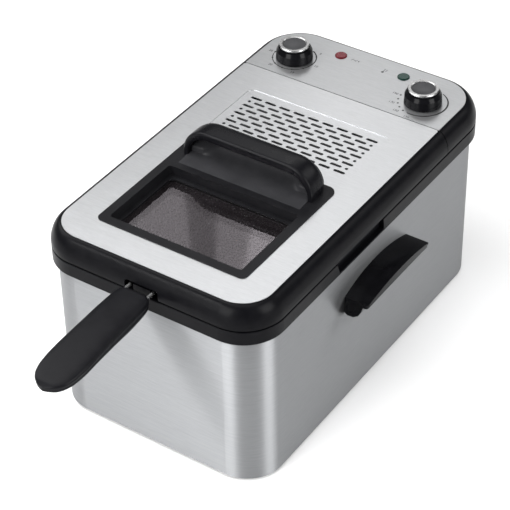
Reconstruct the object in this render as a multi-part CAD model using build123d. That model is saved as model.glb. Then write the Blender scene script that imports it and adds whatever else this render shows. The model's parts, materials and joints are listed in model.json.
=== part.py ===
from build123d import *
import math
import os

# Deep fryer with a lift-off lid, a wire basket, a removable oil pot and a removable
# control unit that carries the immersion heater. Sizes in millimetres.
# Body axes: +Z up, front (basket handle) towards -Y, controls at +Y, +X to the right.
Y_SHIFT = 67.5          # moves the whole row so that its box is centred over the origin

# outside plan
HALF_W = 121.0          # rim band and bullnose, half width
HALF_L = 207.5          # rim band and bullnose, half length
R_FRONT = 41.0
R_REAR = 47.0
NOSE = 11.0             # how far the bullnose runs out past the top plates
SEAM_Y = 116.8          # rear edge of the lid
SEAM_GAP = 0.9          # open joint between the lid and the control unit
SHELL_IN = 4.6          # steel shell lies this far inside the rim band
SHELL_T = 0.8

# heights
Z_FOOT = 3.0
Z_BAND = 166.2          # lower edge of the rim band
Z_RIM = 182.1           # top of the rim band
Z_SKIRT = 183.9         # lower edge of the lid and of the control housing
Z_TOP = 206.0           # top plates
PLATE_T = 0.8
LEDGE_Z = 175.6         # ledge that carries the pot flange

# lid window and handle
BEZEL_HW = 80.0
BEZEL_Y0 = -166.0
BEZEL_Y1 = -14.0
WIN_HW = 71.0
WIN_Y0 = -157.0
WIN_Y1 = -65.5
WIN_DEPTH = 11.7
GLASS_T = 4.0
ARCH_HW = 70.8
ARCH_Y0 = -49.0
ARCH_Y1 = -21.5
SCREW_Y = -34.5         # screws that hold the lid handle
ARCH_TOP = 238.7

# steam vent
VENT_HW = 79.5
VENT_Y0 = 3.5
VENT_Y1 = 81.5
ROW_Y0 = 11.7
ROW_PITCH = 7.27
SLOT_PITCH = 16.275
SLOT_L = 12.2
SLOT_W = 3.3

# controls
KNOB_X = 73.6
KNOB_Y = 150.5
KNOB_R = 18.5
LED_X = 36.0
LED_Y = 178.0
LED_R = 6.2
SHAFT_R = 3.0

# basket and its handle
WIRE_R = 1.8
WIRE_X = 12.0
WIRE_Z = 189.0
PIVOT_Y = -171.0
GRIP_Y0 = -216.0
GRIP_Y1 = -342.5
BASKET_HW = 78.0
BASKET_Y0 = -160.0
BASKET_Y1 = 74.0
BASKET_Z0 = 76.0
BASKET_Z1 = 168.0

# oil pot and heater
POT_HW = 98.0
POT_Y0 = -186.0
POT_Y1 = 105.0
POT_Z0 = 30.0
POT_T = 1.2
HEAT_R = 3.25
HEAT_Z = 58.0
HEAT_TOP = 186.6

# carrying grips on the long sides
GRIP_A = -59.5
GRIP_B = 50.5
GRIP_OUT = 25.0         # at both ends, and this much further out in the middle:
GRIP_BULGE = 2.4
GRIP_TOP = 129.0
GRIP_RISE = 10.0        # the top arches up by this much, the lower edge by less
GRIP_LOW = 124.3
GRIP_LOW_RISE = 4.5

nodes = {}


def plan(hw, y0, y1, rf, rr):
    """Rounded rectangle seen from above, with its own front and rear corner radii."""
    mid = (y0 + y1) / 2
    f = Pos(0, mid) * Rectangle(2 * hw, y1 - y0)
    if rf > 0:
        f = fillet(f.vertices().filter_by(lambda v: v.Y < mid), rf)
    if rr > 0:
        f = fillet(f.vertices().filter_by(lambda v: v.Y > mid), rr)
    return f


def slab(f, z0, z1):
    return extrude(Pos(0, 0, z0) * f, z1 - z0)


def block(x0, x1, y0, y1, z0, z1):
    return Pos((x0 + x1) / 2, (y0 + y1) / 2, (z0 + z1) / 2) * Box(x1 - x0, y1 - y0, z1 - z0)


def rod_z(x, y, z0, z1, r):
    return Pos(x, y, (z0 + z1) / 2) * Cylinder(r, z1 - z0)


def rod_x(y, z, x0, x1, r):
    return Pos((x0 + x1) / 2, y, z) * Rot(0, 90, 0) * Cylinder(r, x1 - x0)


def rod_y(x, z, y0, y1, r):
    return Pos(x, (y0 + y1) / 2, z) * Rot(90, 0, 0) * Cylinder(r, y1 - y0)


def bent(points, bends):
    """Wire through the given corners, each rounded to its bend radius."""
    pts = [Vector(*p) for p in points]
    edges = []
    cur = pts[0]
    for i in range(1, len(pts) - 1):
        a = (pts[i - 1] - pts[i]).normalized()
        b = (pts[i + 1] - pts[i]).normalized()
        half = math.radians(a.get_angle(b)) / 2
        bend = bends[i - 1]
        p1 = pts[i] + a * (bend / math.tan(half))
        p2 = pts[i] + b * (bend / math.tan(half))
        mid = pts[i] + (a + b).normalized() * (bend / math.sin(half) - bend)
        if (p1 - cur).length > 0.01:
            edges.append(Line(cur, p1))
        edges.append(ThreePointArc(p1, mid, p2))
        cur = p2
    if (pts[-1] - cur).length > 0.01:
        edges.append(Line(cur, pts[-1]))
    return Wire(edges)


def bent_rod(points, r, bends):
    w = bent(points, bends)
    return sweep(Plane(origin=w @ 0, z_dir=w % 0) * Circle(r), path=w)


def ring_rod(hw, y0, y1, corner, z, r):
    w = (Pos(0, 0, z) * plan(hw, y0, y1, corner, corner)).wire()
    return sweep(Plane(origin=w @ 0, z_dir=w % 0) * Circle(r), path=w)


def both(solid):
    return solid + mirror(solid, Plane.YZ)


def nose_edges():
    """Outer curve of the bullnose, measured from the edge of the top plate."""
    pts = [(0.3, 205.8), (4.2, 203.6), (7.9, 198.6), (10.1, 192.8), (NOSE, 186.6)]
    return Spline(*pts, tangents=[(1, -0.18), (0.05, -1)])


def nose_section(flange, flange_z):
    """Bullnose wall with a locating lip below and a flange under the top plate."""
    curve = nose_edges()
    rest = Polyline(
        (NOSE, 186.6), (NOSE, Z_SKIRT), (NOSE - 3, Z_SKIRT), (NOSE - 3, Z_RIM + 0.4),
        (NOSE - 6, Z_RIM + 0.4), (NOSE - 6, 189.0), (3.4, 197.5), (0.5, flange_z),
        (-flange, flange_z), (-flange, Z_TOP - PLATE_T), (0.3, Z_TOP - PLATE_T), (0.3, 205.8))
    return Plane.XZ * make_face(curve.edges() + rest.edges())


# ------------------------------------------------------------------ housing
sx = HALF_W - SHELL_IN
sl = HALF_L - SHELL_IN - 0.6
shell_out = plan(sx, -sl, sl, R_FRONT - SHELL_IN, R_REAR - SHELL_IN)
shell_in = plan(sx - SHELL_T, -sl + SHELL_T, sl - SHELL_T,
                R_FRONT - SHELL_IN - SHELL_T, R_REAR - SHELL_IN - SHELL_T)
shell_lip = plan(sx - 9, -sl + 9, sl - 9, R_FRONT - 13, R_REAR - 13)
shell = slab(shell_out, Z_FOOT, 169) - slab(shell_in, Z_FOOT + SHELL_T, 170)
shell -= slab(shell_lip, 0, 5)
screw_ys = (GRIP_A + 22, GRIP_B - 22)
for yy in screw_ys:
    shell -= rod_x(yy, 117, -130, 130, 2.1)
nodes["outer_shell"] = shell

band = slab(plan(HALF_W, -HALF_L, HALF_L, R_FRONT, R_REAR), Z_BAND, Z_RIM)
band = chamfer(band.faces().sort_by(Axis.Z)[0].outer_wire().edges(), 2.2)
band = fillet(band.faces().sort_by(Axis.Z)[-1].outer_wire().edges(), 0.8)
band -= slab(shell_out, Z_BAND - 1, 169)
band -= slab(plan(sx - 6, -sl + 6, sl - 6, R_FRONT - 10, R_REAR - 10), 160, 172)
skirt_ring = slab(plan(sx - 6, -sl + 6, sl - 6, R_FRONT - 10, R_REAR - 10), 150, 173)
skirt_ring -= slab(plan(sx - 8.5, -sl + 8.5, sl - 8.5, R_FRONT - 12, R_REAR - 12), 149, 173)
collar = band + skirt_ring
collar -= slab(plan(106, -194, 113, 28, 14), LEDGE_Z, 190)
collar -= slab(plan(100.5, -188.5, 107.5, 24, 10), 140, 190)
collar -= slab(plan(94, 121, 196, 8, 12), 140, 190)
# finger recesses that let the lid be gripped, one in each long side of the band
for s in (1, -1):
    pocket = Polyline((-80.5, Z_RIM + 1), (-76.0, 170.2), (0.2, 170.2), (-1.8 + 0.5, Z_RIM + 1), close=True)
    pocket = extrude(Plane.YZ * make_face(pocket), 5.5)
    collar -= Pos(s * (HALF_W - 2.2), 0, 0) * Pos(-2.75, 0, 0) * pocket
# raised tongue between the two handle wires
collar += block(-9.2, 9.2, -HALF_L + 1.2, -HALF_L + 7.5, Z_RIM, 190.2)
nodes["rim_collar"] = collar

base = slab(plan(sx - 1.2, -sl + 1.2, sl - 1.2, R_FRONT - 6, R_REAR - 6), 4.0, 6.6)
for i in range(6):
    base -= block(-40, 40, -60 + 18 * i, -54 + 18 * i, 3, 8)
feet_xy = [(sx_, sy_) for sx_ in (-88, 88) for sy_ in (-165, 165)]
for fx, fy in feet_xy:
    base -= rod_z(fx, fy, 3, 8, 4.0)
    base -= rod_z(fx * 0.93, fy * 1.11, 3, 8, 2.0)
nodes["base_plate"] = base

feet = []
for fx, fy in feet_xy:
    foot = rod_z(fx, fy, 0, 4.0, 10) + rod_z(fx, fy, 4.0, 6.6, 3.95) + rod_z(fx, fy, 6.6, 8.4, 5.4)
    feet.append(foot)
nodes["rubber_feet"] = Compound(feet)

screws = []
for fx, fy in feet_xy:
    screws.append(rod_z(fx * 0.93, fy * 1.11, 6.6, 8.8, 3.6) + rod_z(fx * 0.93, fy * 1.11, 3.9, 6.6, 1.95))
nodes["base_screws"] = Compound(screws)

# sheet-steel heat shield around the pot, standing on the base plate
shield = slab(plan(109, -195, 116, 28, 10), 6.6, 148) - slab(plan(108.2, -194.2, 115.2, 27.2, 9.2), 6, 149)
shield += slab(plan(108.2, -194.2, 115.2, 27.2, 9.2), 20.0, 20.8)
nodes["heat_shield"] = shield


def grip_arc(ends, rise):
    """Points of an arch along the grip, from end to end."""
    return (GRIP_A, ends), ((GRIP_A + GRIP_B) / 2, ends + rise), (GRIP_B, ends)


def side_grip():
    """Arched shelf with a thin projecting lip along its top, on a rounded foot."""
    shelf = None
    for upper, lower, out in ((grip_arc(GRIP_TOP, GRIP_RISE), grip_arc(GRIP_TOP - 2, GRIP_RISE), GRIP_OUT),
                              (grip_arc(GRIP_TOP - 1.9, GRIP_RISE), grip_arc(GRIP_LOW, GRIP_LOW_RISE), GRIP_OUT - 1)):
        ends = Line(upper[0], lower[0]).edges() + Line(upper[2], lower[2]).edges()
        side = make_face(ThreePointArc(*upper).edges() + ThreePointArc(*lower).edges() + ends)
        rim = ThreePointArc((out, GRIP_A), (out + GRIP_BULGE, (GRIP_A + GRIP_B) / 2), (out, GRIP_B))
        back = Polyline((out, GRIP_B), (0, GRIP_B), (0, GRIP_A), (out, GRIP_A))
        outline = make_face(rim.edges() + back.edges())
        layer = extrude(Plane.YZ * side, 40) & slab(outline, 100, 160)
        layer = fillet(layer.edges().filter_by(Axis.Z).sort_by(Axis.X)[-2:], 2.5)
        shelf = layer if shelf is None else shelf + layer
    foot = Polyline((0, GRIP_LOW + GRIP_LOW_RISE), (0, 110.5), (3, 108.5), (9, 108.8), (14.5, 112.5), (17.5, 118.5),
                    (19.5, GRIP_LOW), (19.5, GRIP_LOW + GRIP_LOW_RISE), (0, GRIP_LOW + GRIP_LOW_RISE))
    foot = Pos(0, GRIP_A, 0) * extrude(Plane.XZ * make_face(foot), -(GRIP_B - GRIP_A))
    g = Pos(sx, 0, 0) * (shelf + foot)
    for yy in screw_ys:
        g -= rod_x(yy, 117, sx - 1, sx + 9, 1.8)
    return g


grip_r = side_grip()
nodes["side_grip_right"] = grip_r
nodes["side_grip_left"] = mirror(grip_r, Plane.YZ)
gs = []
for s in (1, -1):
    for yy in screw_ys:
        head = rod_x(yy, 117, sx - SHELL_T - 2.2, sx - SHELL_T, 3.4)
        shank = rod_x(yy, 117, sx - SHELL_T, sx + 8.5, 1.75)
        one = head + shank
        gs.append(one if s > 0 else mirror(one, Plane.YZ))
nodes["grip_screws"] = Compound(gs)

# ------------------------------------------------------------------ oil pot
pot_top = plan(POT_HW, POT_Y0, POT_Y1, 22, 22)
pot = extrude(Pos(0, 0, LEDGE_Z + 0.4 + POT_T) * pot_top, -(LEDGE_Z + 0.4 + POT_T - POT_Z0), taper=2.5)
pot = fillet(pot.faces().sort_by(Axis.Z)[0].edges(), 14)
cav_top = plan(POT_HW - POT_T, POT_Y0 + POT_T, POT_Y1 - POT_T, 22 - POT_T, 22 - POT_T)
cav = extrude(Pos(0, 0, LEDGE_Z + 2.6) * cav_top, -(LEDGE_Z + 2.6 - POT_Z0 - POT_T), taper=2.5)
cav = fillet(cav.faces().sort_by(Axis.Z)[0].edges(), 12.8)
flange = slab(plan(104.5, -192.5, 111.5, 27, 14), LEDGE_Z + 0.4, LEDGE_Z + 0.4 + POT_T)
pot = pot + flange - cav
nodes["oil_pot"] = pot

marks = []
for mz in (118, 138):
    wall = POT_Y0 + POT_T + (178.2 - mz) * 0.0437
    marks.append(block(-22, 22, wall + 0.02, wall + 1.2, mz, mz + 1.2))
nodes["level_marks"] = Compound(marks)

# ------------------------------------------------------------------ control unit
px = HALF_W - NOSE
rear_path = Wire([
    Line((px, SEAM_Y + SEAM_GAP, 0), (px, HALF_L - NOSE - (R_REAR - NOSE), 0)),
    RadiusArc((px, HALF_L - R_REAR, 0), (HALF_W - R_REAR, HALF_L - NOSE, 0), -(R_REAR - NOSE)),
    Line((HALF_W - R_REAR, HALF_L - NOSE, 0), (-HALF_W + R_REAR, HALF_L - NOSE, 0)),
    RadiusArc((-HALF_W + R_REAR, HALF_L - NOSE, 0), (-px, HALF_L - R_REAR, 0), -(R_REAR - NOSE)),
    Line((-px, HALF_L - R_REAR, 0), (-px, SEAM_Y + SEAM_GAP, 0))])
housing = sweep(Pos(px, SEAM_Y + SEAM_GAP, 0) * nose_section(10, 202.4), path=rear_path)
inner_plan = plan(HALF_W - 5.5, SEAM_Y + SEAM_GAP, HALF_L - 5.5, 0, R_REAR - 5.5)
housing += slab(inner_plan, 184.6, 187.0)
housing += block(-112, 112, SEAM_Y + SEAM_GAP, SEAM_Y + SEAM_GAP + 2.4, Z_SKIRT + 0.7, Z_TOP - PLATE_T)
box_o = plan(90, 124, 192, 6, 10)
box_i = plan(87.5, 126.5, 189.5, 4, 8)
housing += slab(box_o, 112, 187)
housing -= slab(box_i, 111, 188)
for s in (1, -1):
    housing -= rod_y(s * 66, HEAT_TOP, 110, 130, 3.6)
    housing -= block(s * 66 - 3.6, s * 66 + 3.6, 110, 127, HEAT_TOP - 3.6, HEAT_TOP)
housing -= rod_y(-58, 193.0, 190, 215, 6.05)
housing -= rod_y(-58, 193.0, 188, 196, 8.05)
housing -= rod_y(56, 193.0, 190, 215, 4.3)
housing -= rod_y(56, 193.0, 188, 196, 7.6)
housing -= rod_y(40, 188.2, 110, 130, 1.3)
nodes["control_housing"] = housing

panel = slab(plan(px, SEAM_Y + SEAM_GAP, HALF_L - NOSE, 0, R_REAR - NOSE), Z_TOP - PLATE_T, Z_TOP)
for s in (1, -1):
    panel -= rod_z(s * KNOB_X, KNOB_Y, 200, 210, 6.0)
    panel -= rod_z(s * LED_X, LED_Y, 200, 210, LED_R)
nodes["control_plate"] = panel

cover = slab(plan(90, 124, 192, 6, 10), 109.5, 112.0)
cover_xy = [(cx, cy) for cx in (-80, 80) for cy in (134, 182)]
for cx, cy in cover_xy:
    cover -= rod_z(cx, cy, 108, 114, 1.6)
nodes["control_cover"] = cover
cs = []
for cx, cy in cover_xy:
    cs.append(rod_z(cx, cy, 107.8, 109.5, 3.2) + rod_z(cx, cy, 109.5, 118, 1.55))
nodes["cover_screws"] = Compound(cs)

for name, s in (("timer_unit", -1), ("thermostat_unit", 1)):
    body = block(s * KNOB_X - 13, s * KNOB_X + 13, KNOB_Y - 17, KNOB_Y + 19, 164, 198)
    body += rod_z(s * KNOB_X, KNOB_Y, 198, 205.1, 5.9)
    body -= rod_z(s * KNOB_X, KNOB_Y, 188, 210, SHAFT_R + 0.05)
    nodes[name] = body
    nodes[name.replace("unit", "shaft")] = rod_z(s * KNOB_X, KNOB_Y, 188.4, 216, SHAFT_R)


def knob_parts(s):
    """Flared knob, its bright ring and the dished cap inside the ring."""
    prof = Polyline((SHAFT_R, 206.7), (KNOB_R, 206.7), (KNOB_R, 208.0), (KNOB_R - 0.5, 215.4),
                    (KNOB_R - 1.1, 216.6), (16.0, 219.2), (14.7, 219.4), (14.7, 220.9), (11.5, 220.9),
                    (11.5, 217.0), (SHAFT_R, 217.0), (SHAFT_R, 206.7))
    k = revolve(Plane.XZ * make_face(prof), Axis.Z)
    rp = Polyline((11.5, 220.9), (15.1, 220.9), (15.3, 221.9), (14.7, 222.7), (12.2, 222.7), (11.5, 222.0),
                  (11.5, 220.9))
    ring = revolve(Plane.XZ * make_face(rp), Axis.Z)
    cap = rod_z(0, 0, 217.0, 221.4, 11.5) - Pos(0, 0, 253.46) * Sphere(34.06)
    at = Pos(s * KNOB_X, KNOB_Y, 0)
    return at * k, at * ring, at * cap


for name, s in (("timer", -1), ("thermostat", 1)):
    k, ring, cap = knob_parts(s)
    nodes[name + "_knob"] = k
    nodes[name + "_knob_ring"] = ring
    nodes[name + "_knob_cap"] = cap

for name, s in (("lens_red", -1), ("lens_green", 1)):
    nodes[name] = rod_z(s * LED_X, LED_Y, 203.2, 206.6, LED_R) + rod_z(s * LED_X, LED_Y, 206.6, 207.4, LED_R - 0.9)
nodes["lamp_holders"] = Compound([rod_z(s * LED_X, LED_Y, 190, 203.2, LED_R + 0.3) for s in (1, -1)])

leg = [(-66, 131, HEAT_TOP), (-66, 93, HEAT_TOP), (-66, 93, HEAT_Z), (-66, -148, HEAT_Z), (-22, -148, HEAT_Z),
       (-22, 70, HEAT_Z), (22, 70, HEAT_Z), (22, -148, HEAT_Z), (66, -148, HEAT_Z), (66, 93, HEAT_Z),
       (66, 93, HEAT_TOP), (66, 131, HEAT_TOP)]


nodes["heating_element"] = bent_rod(leg, HEAT_R, [11, 14, 21.9, 21.9, 21.9, 21.9, 21.9, 21.9, 14, 11])
clip = block(-70.5, 70.5, -42, -34, HEAT_Z + HEAT_R, HEAT_Z + HEAT_R + 1.2)
nodes["element_clip"] = clip

plate = block(-76, 76, 112.2, 113.4, 183.0, 196.0)
for s in (1, -1):
    plate -= rod_y(s * 66, HEAT_TOP, 108, 118, HEAT_R)
    plate += block(s * 40 - 5, s * 40 + 5, 113.4, SEAM_Y + SEAM_GAP, 191, 196)
plate -= rod_y(40, 188.2, 108, 118, 1.15)
nodes["element_bracket"] = plate

# thermostat bulb clipped along the heater's inner leg, its capillary runs back over the pot rim
nodes["sensor_capillary"] = bent_rod(
    [(40, 131, 188.2), (40, 88, 188.2), (40, 88, 66), (40, 40, 66)], 1.1, [6, 6])
nodes["sensor_bulb"] = rod_y(40, 66, -32, 40, 3.0)
nodes["bulb_clip"] = block(37, 43, -10, -2, HEAT_Z + 1.6, 63.0)

nodes["safety_cutout"] = rod_y(56, 193.0, 189.6, 194.6, 7.5)
nodes["reset_button"] = rod_y(56, 193.0, 197.2, 207.3, 4.0)
gland = rod_y(-58, 193.0, 192, 207.3, 6.0) + rod_y(-58, 193.0, 192, 195, 8.0)
gland -= rod_y(-58, 193.0, 190, 210, 3.6)
nodes["cord_gland"] = gland
nodes["terminal_block"] = block(-24, 24, 150, 168, 112.0, 128.0)
nodes["microswitch"] = block(20, 48, 176, 187, 112.0, 130.0)

# ------------------------------------------------------------------ basket
b_top = plan(BASKET_HW, BASKET_Y0, BASKET_Y1, 14, 14)
mesh = extrude(Pos(0, 0, BASKET_Z1 - 2) * b_top, -(BASKET_Z1 - 2 - BASKET_Z0), taper=4)
bi_top = plan(BASKET_HW - 1.2, BASKET_Y0 + 1.2, BASKET_Y1 - 1.2, 12.8, 12.8)
mesh -= extrude(Pos(0, 0, BASKET_Z1 - 1) * bi_top, -(BASKET_Z1 - 1 - BASKET_Z0 - 1.2), taper=4)
mid_y = (BASKET_Y0 + BASKET_Y1) / 2
holes = []
for i in range(9):
    for j in range(14):
        hx = (i - 4) * 14.4
        hy = mid_y + (j - 6.5) * 14.8
        holes.append(block(hx - 5.8, hx + 5.8, hy - 5.8, hy + 5.8, BASKET_Z0 - 2, BASKET_Z0 + 4))
for k in range(5):
    z0 = BASKET_Z0 + 11 + k * 15.0
    for i in range(9):
        hx = (i - 4) * 14.4
        holes.append(block(hx - 5.8, hx + 5.8, BASKET_Y0 - 5, BASKET_Y1 + 5, z0, z0 + 11.5))
    for j in range(14):
        hy = mid_y + (j - 6.5) * 14.8
        holes.append(block(-90, 90, hy - 5.8, hy + 5.8, z0, z0 + 11.5))
mesh -= holes
nodes["basket_mesh"] = mesh

nodes["basket_rim"] = ring_rod(BASKET_HW - 0.6, BASKET_Y0 + 0.6, BASKET_Y1 - 0.6, 13.4, BASKET_Z1, 2.0)

bracket = block(-24, 24, -166.2, -164.4, 150, 184)
for s in (1, -1):
    x0, x1 = sorted((s * 18.4, s * 20.4))
    bracket += block(x0, x1, -176.5, -164.4, 176, 193.8)
    bracket += block(sorted((s * 18.4, s * 24))[0], sorted((s * 18.4, s * 24))[1], -166.2, -164.4, 150, 193.8)
    bracket -= rod_x(PIVOT_Y, WIRE_Z, x0 - 1, x1 + 1, WIRE_R + 0.05)
bracket += block(-24, 24, -164.4, BASKET_Y0 - 1.4, 163, 173)
bracket -= ring_rod(BASKET_HW - 0.6, BASKET_Y0 + 0.6, BASKET_Y1 - 0.6, 13.4, BASKET_Z1, 2.0)
nodes["basket_bracket"] = bracket

# drain hook at the rear of the basket, hung over the pot rim when the basket is raised
hook = block(-16, 16, BASKET_Y1 + 1.4, BASKET_Y1 + 3.0, 158, 182) + block(-16, 16, BASKET_Y1 + 3.0, 86, 180.4, 182)
hook += block(-16, 16, 84.4, 86, 174, 180.4)
nodes["basket_hook"] = hook

# ------------------------------------------------------------------ folding basket handle
hw_wires = []
for s in (1, -1):
    pts = [(s * WIRE_X, GRIP_Y0 - 26, WIRE_Z), (s * WIRE_X, PIVOT_Y, WIRE_Z), (s * 25, PIVOT_Y, WIRE_Z)]
    hw_wires.append(bent_rod(pts, WIRE_R, [4.0]))
nodes["handle_wires"] = Compound(hw_wires)

outline = Polyline((-13, GRIP_Y0), (13, GRIP_Y0))
right = Spline((13, GRIP_Y0), (17.3, -226), (20.4, -262), (22.4, -306), (16.4, -334), (0, GRIP_Y1),
               tangents=[(1, -0.5), (-1, 0)])
left = Spline((-13, GRIP_Y0), (-17.3, -226), (-20.4, -262), (-22.4, -306), (-16.4, -334), (0, GRIP_Y1),
              tangents=[(-1, -0.5), (1, 0)])
grip_plan = make_face(outline.edges() + right.edges() + left.edges())
upper = Spline((GRIP_Y0 + 2, 192.5), (-240, 191.6), (-270, 189.0), (-305, 184.6), (-345, 179.6))
lower = Spline((-345, 170.0), (-320, 168.8), (-290, 170.6), (-250, 175.6), (GRIP_Y0 + 2, 178.6))
ends = Line((-345, 179.6), (-345, 170.0)).edges() + Line((GRIP_Y0 + 2, 178.6), (GRIP_Y0 + 2, 192.5)).edges()
side = Plane.YZ * make_face(upper.edges() + lower.edges() + ends)
grip = slab(grip_plan, 160, 200) & (Pos(-30, 0, 0) * extrude(side, 60))
for s in (1, -1):
    grip -= rod_y(s * WIRE_X, WIRE_Z, GRIP_Y0 - 26.5, GRIP_Y0 + 3, WIRE_R)
nodes["handle_grip"] = grip

# ------------------------------------------------------------------ lid
ly = SEAM_Y
front_path = Wire([
    Line((px, ly, 0), (px, -HALF_L + R_FRONT, 0)),
    RadiusArc((px, -HALF_L + R_FRONT, 0), (HALF_W - R_FRONT, -HALF_L + NOSE, 0), R_FRONT - NOSE),
    Line((HALF_W - R_FRONT, -HALF_L + NOSE, 0), (-HALF_W + R_FRONT, -HALF_L + NOSE, 0)),
    RadiusArc((-HALF_W + R_FRONT, -HALF_L + NOSE, 0), (-px, -HALF_L + R_FRONT, 0), R_FRONT - NOSE),
    Line((-px, -HALF_L + R_FRONT, 0), (-px, ly, 0))])
frame = sweep(Pos(px, ly, 0) * nose_section(10, 202.4), path=front_path)
frame += block(-112, 112, ly - 8, ly, 202.4, Z_TOP - PLATE_T)
frame += block(-112, 112, ly - 2.4, ly, 196.0, Z_TOP - PLATE_T)
skirt = slab(plan(103, -193.5, 106, 24, 12), 184, 202.4) - slab(plan(100.8, -191.3, 103.8, 22, 10), 183, 202.4)
skirt += slab(plan(106, -196, 109, 26, 12), 200.4, 205.2) - slab(plan(98, -188.5, 101, 20, 10), 183, 206)
frame += skirt
frame -= block(-100, 100, 84, 112, 180, 194)
notch = extrude(Plane(origin=(0, -185, 188), x_dir=(1, 0, 0), z_dir=(0, -1, 0)) * RectangleRounded(36, 9.6, 3), 40)
notch += block(-18, 18, -225, -185, 180, 188)
frame -= notch
nodes["lid_frame"] = frame

lid = slab(plan(px, -HALF_L + NOSE, ly, R_FRONT - NOSE, 2.4), Z_TOP - PLATE_T, Z_TOP)
vent_plan = plan(VENT_HW, VENT_Y0, VENT_Y1, 7, 7)
lid -= slab(vent_plan, Z_TOP - 0.6, Z_TOP + 1)
lid += slab(vent_plan, Z_TOP - PLATE_T - 0.6, Z_TOP - 0.6)
slots = []
for r in range(9):
    sy = ROW_Y0 + r * ROW_PITCH
    n = 9 if r % 2 == 0 else 8
    for i in range(n):
        cx = (i - (n - 1) / 2) * SLOT_PITCH
        slots.append(Pos(cx, sy, 0) * SlotOverall(SLOT_L, SLOT_W))
    if n == 8:
        for s in (1, -1):
            slots.append(Pos(s * 68.5, sy, 0) * Circle(SLOT_W / 2))
lid -= [extrude(Pos(0, 0, 203) * f, 5) for f in slots]
lid -= slab(plan(76, -162, -60, 6, 6), 200, 210)
screw_x = (-58, 58)
for xx in screw_x:
    lid -= rod_z(xx, SCREW_Y, 200, 210, 2.3)
nodes["lid_plate"] = lid

bez = slab(plan(BEZEL_HW, BEZEL_Y0, BEZEL_Y1, 6, 9), Z_TOP, Z_TOP + 1.0)
bez += slab(plan(75.9, -161.9, -60.1, 6, 6), Z_TOP + 1 - WIN_DEPTH, Z_TOP)
bez -= slab(plan(WIN_HW, WIN_Y0, WIN_Y1, 3, 3), Z_TOP + 1 - WIN_DEPTH + 1.7, Z_TOP + 2)
bez -= slab(plan(WIN_HW - 4.5, WIN_Y0 + 4.5, WIN_Y1 - 4.5, 7, 7), 190, Z_TOP + 2)
for xx in screw_x:
    bez -= rod_z(xx, SCREW_Y, 200, 210, 2.3)
nodes["window_bezel"] = bez

gz = Z_TOP + 1 - WIN_DEPTH
nodes["window_seal"] = slab(plan(75.0, -161, -61, 6, 6), gz - 1.0, gz) - \
    slab(plan(68, -154, -68, 5, 5), gz - 2, gz + 1)
nodes["window_glass"] = slab(plan(74.5, -160.5, -61.5, 5, 5), gz - 1.0 - GLASS_T, gz - 1.0)
ret = slab(plan(79.5, -163.4, -57.5, 6, 6), gz - 6.4, gz - 5.0) - slab(plan(70, -156, -66, 5, 5), gz - 8, gz)
ret += slab(plan(79.5, -163.4, -57.5, 6, 6), gz - 5.0, gz + 1.4) - slab(plan(77.6, -162.9, -59.2, 6, 6), gz - 8, gz + 2)
nodes["glass_retainer"] = ret

ax = ARCH_HW
arch = make_face(
    Line((-ax, Z_TOP + 1), (-ax, ARCH_TOP - 27)).edges()
    + RadiusArc((-ax, ARCH_TOP - 27), (-ax + 27, ARCH_TOP), 27).edges()
    + Line((-ax + 27, ARCH_TOP), (ax - 27, ARCH_TOP)).edges()
    + RadiusArc((ax - 27, ARCH_TOP), (ax, ARCH_TOP - 27), 27).edges()
    + Line((ax, ARCH_TOP - 27), (ax, Z_TOP + 1)).edges()
    + Line((ax, Z_TOP + 1), (-ax, Z_TOP + 1)).edges())
handle = Pos(0, ARCH_Y1, 0) * extrude(Plane.XZ * arch, ARCH_Y1 - ARCH_Y0)
ai = ax - 5
inner = make_face(
    Line((-ai, Z_TOP), (-ai, ARCH_TOP - 28)).edges()
    + RadiusArc((-ai, ARCH_TOP - 28), (-ai + 21, ARCH_TOP - 7), 21).edges()
    + Line((-ai + 21, ARCH_TOP - 7), (ai - 21, ARCH_TOP - 7)).edges()
    + RadiusArc((ai - 21, ARCH_TOP - 7), (ai, ARCH_TOP - 28), 21).edges()
    + Line((ai, ARCH_TOP - 28), (ai, Z_TOP)).edges()
    + Line((ai, Z_TOP), (-ai, Z_TOP)).edges())
scoop = Pos(0, ARCH_Y0 + 19.5, 0) * extrude(Plane.XZ * inner, 40)
wy = ARCH_Y0 + 19.5
corner = make_face(Polyline((wy, Z_TOP), (wy, 226), (wy - 4, 216), (wy - 10, 210.5), (wy - 18.5, 207.6),
                            (wy - 18.5, Z_TOP), (wy, Z_TOP)))
fillweb = Pos(-ai, 0, 0) * extrude(Plane.YZ * corner, 2 * ai)
handle = handle - (scoop - fillweb)
handle -= block(-90, 90, -60, -10, 200, Z_TOP + 1)
hf = [e for e in handle.edges() if abs(e.center().Y - ARCH_Y1) < 0.01 and e.center().Z > Z_TOP + 2]
handle = fillet(hf, 4.0)
for xx in screw_x:
    handle -= rod_z(xx, SCREW_Y, 200, 214, 1.5)
nodes["lid_handle"] = handle
hs = []
for xx in screw_x:
    head = rod_z(xx, SCREW_Y, 203.0, 205.2, 3.6) + rod_z(xx, SCREW_Y, 205.2, 207.0, 2.2)
    hs.append(head + rod_z(xx, SCREW_Y, 207.0, 213, 1.5))
nodes["handle_screws"] = Compound(hs)

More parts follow.
